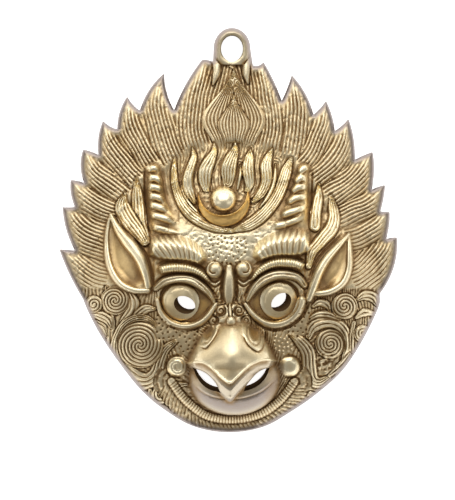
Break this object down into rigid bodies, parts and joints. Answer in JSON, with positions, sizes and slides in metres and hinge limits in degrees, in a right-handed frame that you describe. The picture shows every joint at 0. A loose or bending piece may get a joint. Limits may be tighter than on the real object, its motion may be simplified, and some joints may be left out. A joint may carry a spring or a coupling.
{
  "type": "garuda mask",
  "caption": "Small hollow cast-brass mask of the bird deity, with hooked beak, horns, scrolled beard, a crown of flames and a hanging ring.",
  "frame": {"origin": "bottom centre of the bounding box, in the plane of the flat back rim that the mask lies on", "axes": "+Z out of the face, +Y towards the hanging ring, +X to the right as the mask is looked at"},
  "size_m": [0.054, 0.0648, 0.0173],
  "materials": {
    "brass": "pale antique brass, polished on the high places and brown in the recesses"
  },
  "bodies": {
    "root": {"mask": "brass"}
  },
  "joints": []
}
